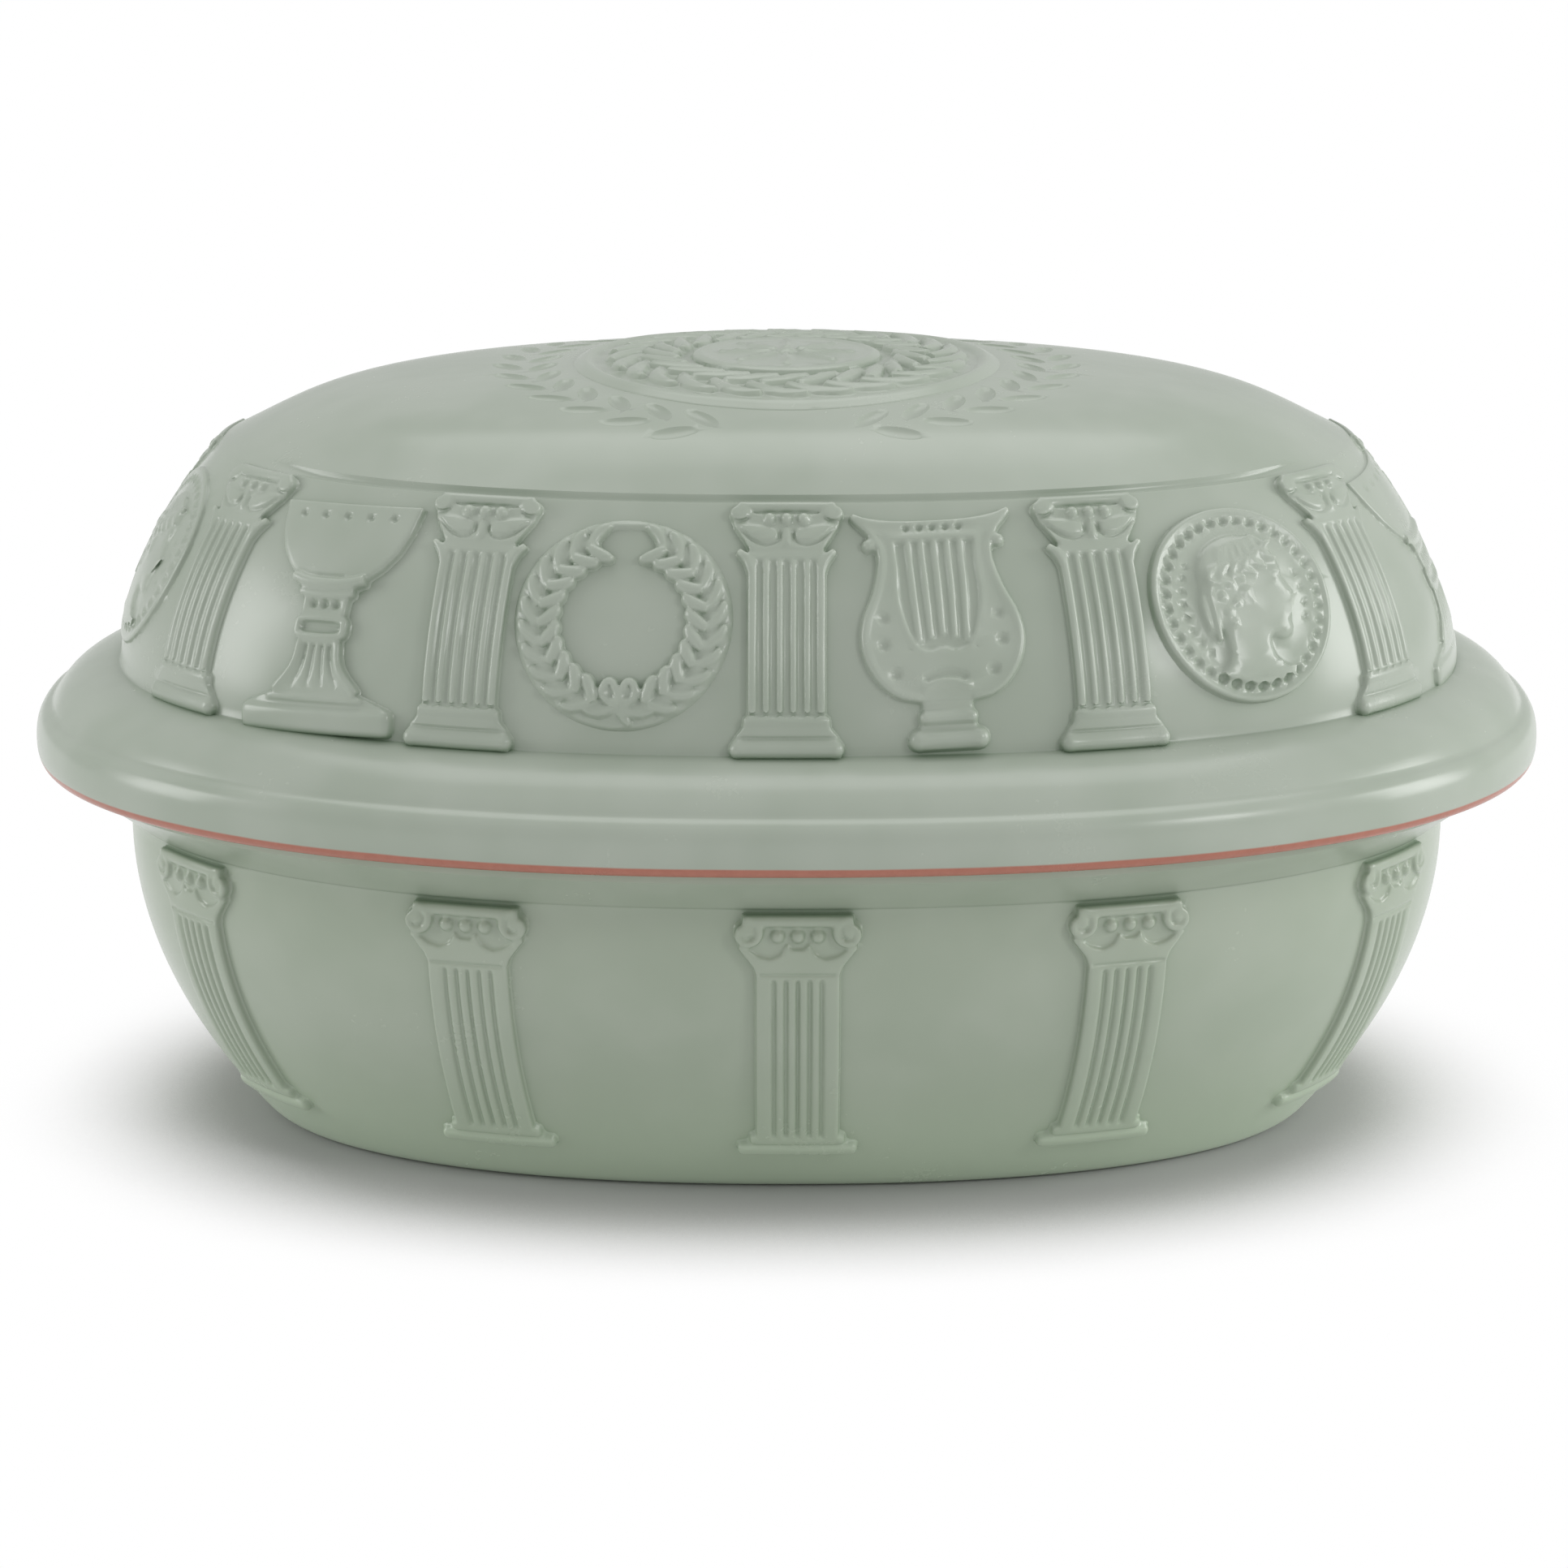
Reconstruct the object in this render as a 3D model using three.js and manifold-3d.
import * as THREE from "three";
import { mergeVertices } from "three/addons/utils/BufferGeometryUtils.js";
import Module from "manifold-3d";

// An oval clay roaster in two fired pieces: a deep dish, and a domed lid whose tongue drops into a
// gallery inside the dish's rim. Columns and emblems are moulded in relief with the two walls.
// Millimetres, +Z up. The origin is on the table under the middle, the long axis lies along X and
// the front is -Y. Sections are drawn at the long end: r is the half length there, z the height.

// Overall
const LENGTH = 345; // over the lid's flange
const WIDTH = 242;
const HEIGHT = 176; // table to the top of the lid's medallion
const SEAM = 86; // underside of the lid's flange
const SQUARENESS = 2.24; // power of the oval outline: 2 is an ellipse
const SEGMENTS = 52; // facets round the oval
const CURVE_STEPS = 4; // facets along each curve of a section

// How the lid sits on the dish
const SEAT_GAP = 0.3; // flange over rim
const TONGUE_DEPTH = 5.5;
const TONGUE_THICKNESS = 6;
const TONGUE_CLEARANCE = 1.2; // tongue to gallery, all round and below

// Dish
const DISH_WALL = 8;
const DISH_FLOOR = 9;
const FOOT_INSET = 54.5; // flat foot inside the flange's edge
const FOOT_ROUND = 5.5; // how far the rounded foot edge reaches out
const FOOT_LIFT = 3; // and up
const WALL_INSET = 21; // top of the wall inside the flange's edge
const BELLY_INSET = 19.5; // control point of the wall's curve inside the flange's edge
const FLOOR_CORNER = 14; // inner floor's edge inside the outer foot edge
const COLLAR_DROP = 13; // seam down to the crease below the flared rim
const COLLAR_STEP = 0.8;
const RIM_INSET = 9; // rim inside the flange's edge
const RIM_EDGE = 3.2; // height of the rim's upright edge
const RIM_FLARE = 7.5; // rim out from the flare's control point

// Lid
const LID_WALL = 8.5;
const FLANGE_RISE = 22; // seam up to the foot of the frieze
const FLANGE_REACH = 18.7; // frieze ledge out to the flange's edge
const FLANGE_BAND = 11.5; // height of the rounded outer band
const BAND_TUCK = 3.5; // band's upper edge inside the flange's edge
const LIP_TUCK = 1.9; // flange's lower edge inside its widest part
const LIP_ROUND = 4; // height of the rounding below the widest part
const LEDGE = 0.8; // step out below the frieze
const FRIEZE_LEAN = 24.5; // how far the frieze leans in on its way up
const FRIEZE_DRAFT = 2; // of that, how far in its lower half
const DOME_RISE = 17.5; // top of the frieze to the top of the dome
const DOME_FLAT = 100; // half length of the nearly flat top
const DOME_SHOULDER = 20; // dome's control point inside its edge
const GROOVE_WIDTH = 3;
const GROOVE_DEPTH = 0.9;

// Reliefs
const RELIEF = 2.2; // how far ornament stands proud of the wall
const RELIEF_ROOT = 2; // how deep it is rooted in the wall
const LID_COLUMNS_AT = [0.354, 0.712, 1.072, 1.443, 1.814]; // each way round from the front, in quarters
const DISH_COLUMNS = 11; // evenly round the dish
const DISH_COLUMN_SHIFT = 2.4; // dish's front column along its ring from the lid's
const LID_END_RELIEF = 0.35; // share of the relief left at the long ends
const DISH_END_RELIEF = 0.6;
const FADE_START = 0.45; // relief begins to fall off, in quarters of the ring from a long side
const COLUMN_MARGIN = 0.8; // column to the ends of its wall
const DISH_COLUMN_LIFT = 11.8; // dish column's foot above the rounded foot edge
const LID_CAPITAL_WIDTH = 24;
const LID_SHAFT_WIDTH = 16.5;
const DISH_CAPITAL_WIDTH = 28;
const DISH_SHAFT_WIDTH = 18;
const CAPITAL_HEIGHT = 15;
const SHAFT_RELIEF = 1.8;
const PLINTH_HEIGHT = 6;
const ABACUS_HEIGHT = 5.5; // bar across the top of a capital
const EMBLEM_MARGIN = 4; // goblet and lyre to the ends of the frieze
const ROUNDEL_MARGIN = 5; // wreath and coin to the ends of the frieze
const GOBLET_WIDTH = 34;
const LYRE_WIDTH = 35;
const LYRE_ARM = 5;
const WREATH_BAND = 8.5;
const COIN_RIM = 4;
const HEAD_WIDTH = 20;
const HEAD_MARGIN = 9; // head to the coin's edge
const MEDALLION_DIAMETER = 97;
const MEDALLION_RIM = 3;
const MEDALLION_BOSS = 43; // diameter of the raised disc in its middle
const MEDALLION_PROUD = 1.3;
const DISC_FACETS = 20;
const EMBLEMS = [
  "lyre", "coin", "goblet", "wreath", "lyre", "coin", "wreath", "lyre", "coin", "goblet", "wreath",
]; // from the front towards +X

// Outlines from foot to top, in shares of a piece's height, half width and relief.
const GOBLET_OUTLINE = [
  [0, 1, 0.8], [0.08, 1, 0.8], [0.11, 0.6, 0.7], [0.32, 0.25, 0.9], [0.4, 0.25, 0.9], [0.43, 0.4, 1],
  [0.51, 0.4, 1], [0.55, 0.26, 0.9], [0.62, 0.34, 0.9], [0.69, 0.68, 1], [0.82, 0.93, 1], [1, 1, 1],
];
const LYRE_BODY_OUTLINE = [
  [0, 0.5, 0.8], [0.1, 0.5, 0.8], [0.13, 0.28, 0.8], [0.18, 0.28, 0.8], [0.24, 0.8, 0.9], [0.36, 1, 1],
  [0.46, 0.86, 0.9],
];
const HEAD_OUTLINE = [
  [0, 0.8, 0.5], [0.12, 0.75, 0.6], [0.22, 0.42, 0.6], [0.34, 0.5, 0.8], [0.5, 0.86, 1], [0.75, 1, 1],
  [0.93, 0.7, 0.8], [1, 0.35, 0.6],
];
const LYRE_ARM_LINE = [[0.4, 0.84], [0.55, 0.78], [0.72, 0.56], [0.86, 0.6], [0.97, 0.86]]; // height, out
const LYRE_BAR = { foot: 0.86, top: 0.93, reach: 0.6 }; // crossbar between the arms
const LYRE_STRINGS = { foot: 0.42, top: 0.88, reach: 0.4, proud: 0.55 };
const COIN_FIELD = 0.45; // relief of the coin's face inside its rim
const MEDALLION_FIELD = 0.35;

// Worked out from the sizes above
const EDGE = LENGTH / 2;
const NARROWING = (LENGTH - WIDTH) / 2;
const FRONT = -Math.PI / 2;
const DOME_TOP = HEIGHT - MEDALLION_PROUD;
const friezeFoot = new THREE.Vector2(EDGE - FLANGE_REACH - LEDGE, SEAM + FLANGE_RISE);
const friezeTop = new THREE.Vector2(friezeFoot.x - FRIEZE_LEAN, DOME_TOP - DOME_RISE);
const friezeBelly = new THREE.Vector2(friezeFoot.x - FRIEZE_DRAFT, (friezeFoot.y + friezeTop.y) / 2);
const footEdge = new THREE.Vector2(EDGE - FOOT_INSET, 0);
const wallFoot = new THREE.Vector2(footEdge.x + FOOT_ROUND, FOOT_LIFT);
const wallTop = new THREE.Vector2(EDGE - WALL_INSET, SEAM - COLLAR_DROP);
const wallBelly = new THREE.Vector2(EDGE - BELLY_INSET, (wallFoot.y + wallTop.y) / 2);
const tongueInside = friezeFoot.x - LID_WALL;
const tongueOutside = tongueInside + TONGUE_THICKNESS;
const NEAR = 0.05; // length of the small steps that find a wall's slope
const TOUCHING = 1e-4; // corners this close are one
const RING_STEPS = 360; // straight steps that measure a ring's length
const HALVINGS = 30; // halvings that find a height on the dome
const UPRIGHT_TRIES = 6; // tries that find where a ring crosses a relief's upright line

const wasm = await Module();
wasm.setup();

// The oval: rings outside the core keep an even distance, rings inside it shrink in proportion.
function ovalPoint(r, core, angle) {
  const narrow = r > core ? r - NARROWING : (r * (core - NARROWING)) / core;
  const c = Math.cos(angle);
  const s = Math.sin(angle);
  const stretch = (Math.abs(c) ** SQUARENESS + Math.abs(s) ** SQUARENESS) ** (-1 / SQUARENESS);
  return new THREE.Vector2(r * stretch * c, narrow * stretch * s);
}

// One ring as a curve that starts at the middle of the front and runs towards +X.
class OvalRing extends THREE.Curve {
  constructor(r, core) {
    super();
    this.r = r;
    this.core = core;
    this.arcLengthDivisions = RING_STEPS;
  }

  getPoint(share, target = new THREE.Vector3()) {
    const p = ovalPoint(this.r, this.core, FRONT + 2 * Math.PI * share);
    return target.set(p.x, p.y, 0);
  }
}

// Closed solids for joining, and back to a geometry.
function solidOf(geometry) {
  const bare = new THREE.BufferGeometry();
  bare.setAttribute("position", geometry.getAttribute("position"));
  bare.setIndex(geometry.getIndex());
  const merged = mergeVertices(bare, TOUCHING);
  const corners = merged.index.array;
  const triVerts = [];
  for (let i = 0; i < corners.length; i += 3) {
    const [a, b, c] = corners.slice(i, i + 3);
    if (a !== b && b !== c && c !== a) triVerts.push(a, b, c);
  }
  const vertProperties = merged.getAttribute("position").array;
  const mesh = new wasm.Mesh({ numProp: 3, vertProperties, triVerts: new Uint32Array(triVerts) });
  return new wasm.Manifold(mesh);
}

function geometryOf(solid) {
  const { vertProperties, triVerts } = solid.getMesh();
  const geometry = new THREE.BufferGeometry();
  geometry.setAttribute("position", new THREE.BufferAttribute(vertProperties, 3));
  geometry.setIndex(new THREE.BufferAttribute(triVerts, 1));
  geometry.computeVertexNormals();
  return geometry;
}

// A turned section whose rings are drawn out to the oval.
function ovalShell(section, core) {
  const geometry = new THREE.LatheGeometry(section, SEGMENTS);
  const place = geometry.getAttribute("position");
  for (let i = 0; i < place.count; i++) {
    const r = Math.hypot(place.getX(i), place.getZ(i));
    const angle = Math.atan2(-place.getZ(i), place.getX(i));
    const p = ovalPoint(r, core, angle);
    place.setXYZ(i, p.x, p.y, place.getY(i));
  }
  return solidOf(geometry);
}

// The same curve one wall thickness further in.
function insideOf(curve, wall) {
  const ends = [curve.v0, curve.v1, curve.v2].map((point, i) => {
    const slope = curve.getTangent(i / 2);
    return new THREE.Vector2(point.x - wall * slope.y, point.y + wall * slope.x);
  });
  return new THREE.QuadraticBezierCurve(...ends);
}

const friezeCurve = new THREE.QuadraticBezierCurve(friezeFoot, friezeBelly, friezeTop);
const dishCurve = new THREE.QuadraticBezierCurve(wallFoot, wallBelly, wallTop);

function dishSection() {
  const inside = insideOf(dishCurve, DISH_WALL);
  const rim = EDGE - RIM_INSET;
  const rimTop = SEAM - SEAT_GAP;
  const gallery = tongueOutside + TONGUE_CLEARANCE;
  const galleryFloor = SEAM - TONGUE_DEPTH - TONGUE_CLEARANCE;
  const path = new THREE.Path();
  path.moveTo(0, 0);
  path.lineTo(footEdge.x, 0);
  path.quadraticCurveTo(footEdge.x + FOOT_ROUND / 2, 0, wallFoot.x, wallFoot.y);
  path.quadraticCurveTo(wallBelly.x, wallBelly.y, wallTop.x, wallTop.y);
  path.lineTo(wallTop.x + COLLAR_STEP, wallTop.y + COLLAR_STEP);
  path.quadraticCurveTo(rim - RIM_FLARE, wallTop.y + RIM_EDGE + COLLAR_STEP, rim, rimTop - RIM_EDGE);
  path.lineTo(rim, rimTop);
  path.lineTo(gallery, rimTop);
  path.lineTo(gallery, galleryFloor);
  path.lineTo(inside.v2.x, galleryFloor);
  path.lineTo(inside.v2.x, inside.v2.y);
  path.quadraticCurveTo(inside.v1.x, inside.v1.y, wallFoot.x - FLOOR_CORNER, DISH_FLOOR);
  path.lineTo(0, DISH_FLOOR);
  return path.getPoints(CURVE_STEPS);
}

const domeEdge = new THREE.Vector2(friezeTop.x - GROOVE_WIDTH, friezeTop.y + GROOVE_WIDTH / 2);
const domeCurve = new THREE.CubicBezierCurve(
  domeEdge,
  new THREE.Vector2(domeEdge.x - DOME_SHOULDER, domeEdge.y + DOME_SHOULDER / 2),
  new THREE.Vector2(DOME_FLAT, DOME_TOP),
  new THREE.Vector2(0, DOME_TOP),
);

function domeHeight(r) {
  let [low, high] = [0, 1];
  for (let i = 0; i < HALVINGS; i++) {
    const middle = (low + high) / 2;
    if (domeCurve.getPoint(middle).x > r) low = middle;
    else high = middle;
  }
  return domeCurve.getPoint(low).y;
}

function lidSection() {
  const inside = insideOf(friezeCurve, LID_WALL);
  const band = new THREE.Vector2(EDGE - BAND_TUCK, SEAM + FLANGE_BAND);
  const lip = EDGE - LIP_TUCK;
  const groove = domeEdge.clone().lerp(friezeTop, 0.5).addScalar(-GROOVE_DEPTH);
  const path = new THREE.Path();
  path.moveTo(0, DOME_TOP - LID_WALL);
  path.bezierCurveTo(
    DOME_FLAT, DOME_TOP - LID_WALL,
    inside.v2.x - DOME_SHOULDER, inside.v2.y + LID_WALL / 2,
    inside.v2.x, inside.v2.y,
  );
  path.quadraticCurveTo(inside.v1.x, inside.v1.y, inside.v0.x, inside.v0.y);
  path.lineTo(tongueInside, SEAM - TONGUE_DEPTH);
  path.lineTo(tongueOutside, SEAM - TONGUE_DEPTH);
  path.lineTo(tongueOutside, SEAM);
  path.lineTo(lip, SEAM);
  path.quadraticCurveTo(EDGE, SEAM + LIP_ROUND / 4, EDGE, SEAM + LIP_ROUND);
  path.quadraticCurveTo(EDGE, band.y - BAND_TUCK, band.x, band.y);
  path.quadraticCurveTo(band.x - BAND_TUCK, friezeFoot.y - BAND_TUCK, friezeFoot.x + LEDGE, friezeFoot.y);
  path.lineTo(friezeFoot.x, friezeFoot.y);
  path.quadraticCurveTo(friezeBelly.x, friezeBelly.y, friezeTop.x, friezeTop.y);
  path.lineTo(groove.x, groove.y);
  path.lineTo(domeEdge.x, domeEdge.y);
  path.curves.push(domeCurve);
  return path.getPoints(CURVE_STEPS);
}

// A bar of relief with a row of points at each height: [height, middle, half width, proud height].
function bar(rows, across = 2) {
  const geometry = new THREE.BoxGeometry(2, 1, 1, across, rows.length - 1, 1);
  const spot = geometry.getAttribute("position");
  for (let i = 0; i < spot.count; i++) {
    const row = Math.round((spot.getY(i) + 0.5) * (rows.length - 1));
    const [v, middle, half, proud] = rows[row];
    const h = spot.getZ(i) > 0 ? proud : -RELIEF_ROOT;
    spot.setXYZ(i, middle + spot.getX(i) * half, v, h);
  }
  return geometry;
}

function outlined(outline, width, foot, top) {
  const rows = outline.map(([up, out, proud]) => {
    return [foot + up * (top - foot), 0, (out * width) / 2, proud * RELIEF];
  });
  return bar(rows, 4);
}

// A turned disc or ring that lies flat on the wall.
function disc(section, middle) {
  const points = section.map(([r, h]) => new THREE.Vector2(r, h));
  return new THREE.LatheGeometry(points, DISC_FACETS).rotateX(Math.PI / 2).translate(0, middle, 0);
}

// A column on its plinth, with a plain shaft and a spreading capital.
function column(foot, top, capitalWidth, shaftWidth) {
  const wide = capitalWidth / 2;
  const slim = shaftWidth / 2;
  const shaftFoot = foot + PLINTH_HEIGHT;
  const neck = top - CAPITAL_HEIGHT;
  const step = COLUMN_MARGIN;
  return bar([
    [foot, 0, wide, RELIEF],
    [shaftFoot - step, 0, wide, RELIEF],
    [shaftFoot, 0, slim, SHAFT_RELIEF],
    [(shaftFoot + neck) / 2, 0, slim, SHAFT_RELIEF],
    [neck, 0, slim, SHAFT_RELIEF],
    [top - ABACUS_HEIGHT - step, 0, (wide + slim) / 2, SHAFT_RELIEF],
    [top - ABACUS_HEIGHT, 0, wide, RELIEF],
    [top, 0, wide, RELIEF],
  ]);
}

const emblems = {
  goblet(length) {
    return [outlined(GOBLET_OUTLINE, GOBLET_WIDTH, EMBLEM_MARGIN, length - EMBLEM_MARGIN)];
  },

  wreath(length) {
    const outer = length / 2 - ROUNDEL_MARGIN;
    const inner = outer - WREATH_BAND;
    const crest = (outer + inner) / 2;
    const section = [[inner, -RELIEF_ROOT], [outer, -RELIEF_ROOT], [outer, RELIEF / 2], [crest, RELIEF]];
    return [disc([...section, [inner, RELIEF / 2], section[0]], length / 2)];
  },

  lyre(length) {
    const half = LYRE_WIDTH / 2;
    const level = (share) => THREE.MathUtils.lerp(EMBLEM_MARGIN, length - EMBLEM_MARGIN, share);
    const arm = (side) => {
      const rows = LYRE_ARM_LINE.map(([up, out]) => [level(up), side * out * half, LYRE_ARM / 2, RELIEF]);
      return bar(rows, 1);
    };
    const span = ({ foot: low, top, reach, proud = 1 }) => {
      return [low, top].map((share) => [level(share), 0, reach * half, proud * RELIEF]);
    };
    return [
      outlined(LYRE_BODY_OUTLINE, LYRE_WIDTH, level(0), level(1)),
      arm(-1),
      arm(1),
      bar(span(LYRE_BAR)),
      bar(span(LYRE_STRINGS)),
    ];
  },

  coin(length) {
    const outer = length / 2 - ROUNDEL_MARGIN;
    const inner = outer - COIN_RIM;
    const field = COIN_FIELD * RELIEF;
    const crest = (outer + inner) / 2;
    const face = [[0, -RELIEF_ROOT], [outer, -RELIEF_ROOT], [outer, RELIEF / 2], [crest, RELIEF]];
    const headMargin = ROUNDEL_MARGIN + HEAD_MARGIN;
    return [
      disc([...face, [inner, field], [inner / 2, field], [0, field]], length / 2),
      outlined(HEAD_OUTLINE, HEAD_WIDTH, headMargin, length - headMargin),
    ];
  },
};

// A relief's flat drawing, u across, v up the wall and h out of it, is pressed on to a curved wall:
// u follows the ring and v the wall's section, both measured along the surface. The relief's middle
// runs straight up the wall, square to the ring at half its height. Only the stated part of its height
// is left.
function pressOnWall(geometry, wall, core, share, left) {
  const length = wall.getLength();
  const middle = new OvalRing(wall.getPointAt(0.5).x, core);
  const centre = middle.getPoint(share);
  const step = NEAR / middle.r;
  const sideways = middle.getPoint(share + step).sub(middle.getPoint(share - step)).normalize();
  const surface = (u, v) => {
    const section = wall.getPointAt(THREE.MathUtils.clamp(v / length, 0, 1));
    const ring = new OvalRing(section.x, core);
    const pace = (at) => {
      const near = NEAR / section.x;
      return ring.getPoint(at + near).distanceTo(ring.getPoint(at - near)) / (2 * near);
    };
    let upright = share;
    for (let i = 0; i < UPRIGHT_TRIES; i++) {
      upright -= ring.getPoint(upright).sub(centre).dot(sideways) / pace(upright);
    }
    const halfway = upright + u / pace(upright) / 2;
    return ring.getPoint(upright + u / pace(halfway)).setZ(section.y);
  };
  const spot = geometry.getAttribute("position");
  for (let i = 0; i < spot.count; i++) {
    const u = spot.getX(i);
    const v = spot.getY(i);
    const within = THREE.MathUtils.clamp(v, NEAR, length - NEAR);
    const across = surface(u + NEAR, v).sub(surface(u - NEAR, v));
    const up = surface(u, within + NEAR).sub(surface(u, within - NEAR));
    const outward = across.cross(up).normalize();
    const h = spot.getZ(i);
    const point = surface(u, v).addScaledVector(outward, h > 0 ? h * left : h);
    spot.setXYZ(i, point.x, point.y, point.z);
  }
  return solidOf(geometry);
}

// The medallion follows the dome: its flat drawing is lifted to the dome's height at each point.
function medallion() {
  const outer = MEDALLION_DIAMETER / 2;
  const boss = MEDALLION_BOSS / 2;
  const field = MEDALLION_FIELD * MEDALLION_PROUD;
  const geometry = disc(
    [
      [0, -RELIEF_ROOT], [boss, -RELIEF_ROOT], [outer, -RELIEF_ROOT], [outer, MEDALLION_PROUD / 2],
      [outer - MEDALLION_RIM / 2, MEDALLION_PROUD], [outer - MEDALLION_RIM, field],
      [boss + MEDALLION_RIM / 2, field], [boss, MEDALLION_PROUD], [0, MEDALLION_PROUD],
    ],
    0,
  );
  const long = friezeTop.x;
  const short = friezeTop.x - NARROWING;
  const spot = geometry.getAttribute("position");
  for (let i = 0; i < spot.count; i++) {
    const x = Math.abs(spot.getX(i)) / long;
    const y = Math.abs(spot.getY(i)) / short;
    const r = long * (x ** SQUARENESS + y ** SQUARENESS) ** (1 / SQUARENESS);
    spot.setZ(i, spot.getZ(i) + domeHeight(r));
  }
  return solidOf(geometry);
}

// A two-part mould is drawn off towards the front and the back, so relief is lower towards the ends.
function reliefLeft(turn, atEnds) {
  const toEnd = 1 - Math.abs(1 - ((4 * turn) % 2));
  return THREE.MathUtils.lerp(1, atEnds, THREE.MathUtils.smoothstep(toEnd, FADE_START, 1));
}

function buildDish() {
  const length = dishCurve.getLength();
  const ring = new OvalRing(dishCurve.getPointAt(0.5).x, footEdge.x);
  let dish = ovalShell(dishSection(), footEdge.x);
  for (let k = 0; k < DISH_COLUMNS; k++) {
    const turn = k / DISH_COLUMNS + DISH_COLUMN_SHIFT / ring.getLength();
    const share = ring.getUtoTmapping(turn);
    const relief = column(DISH_COLUMN_LIFT, length - COLUMN_MARGIN, DISH_CAPITAL_WIDTH, DISH_SHAFT_WIDTH);
    dish = dish.add(pressOnWall(relief, dishCurve, footEdge.x, share, reliefLeft(turn, DISH_END_RELIEF)));
  }
  return dish;
}

function buildLid() {
  const length = friezeCurve.getLength();
  const ring = new OvalRing(friezeCurve.getPointAt(0.5).x, friezeTop.x);
  let lid = ovalShell(lidSection(), friezeTop.x).add(medallion());
  const press = (reliefs, turn) => {
    const share = ring.getUtoTmapping(turn);
    const left = reliefLeft(turn, LID_END_RELIEF);
    for (const relief of reliefs) lid = lid.add(pressOnWall(relief, friezeCurve, friezeTop.x, share, left));
  };
  const otherWay = LID_COLUMNS_AT.map((place) => 4 - place).reverse();
  const turns = [0, ...LID_COLUMNS_AT, ...otherWay].map((place) => place / 4);
  turns.forEach((turn, k) => {
    const relief = column(COLUMN_MARGIN, length - COLUMN_MARGIN, LID_CAPITAL_WIDTH, LID_SHAFT_WIDTH);
    press([relief], turn);
    const next = k + 1 < turns.length ? turns[k + 1] : 1;
    press(emblems[EMBLEMS[k]](length), (turn + next) / 2);
  });
  return lid;
}

function piece(name, solid, color) {
  const material = new THREE.MeshStandardMaterial({ color, roughness: 0.6, metalness: 0 });
  const mesh = new THREE.Mesh(geometryOf(solid), material);
  mesh.name = name;
  return mesh;
}

const roaster = new THREE.Group();
roaster.add(piece("dish", buildDish(), 0x94a08f));
roaster.add(piece("lid", buildLid(), 0x9ea99a));

export default roaster;
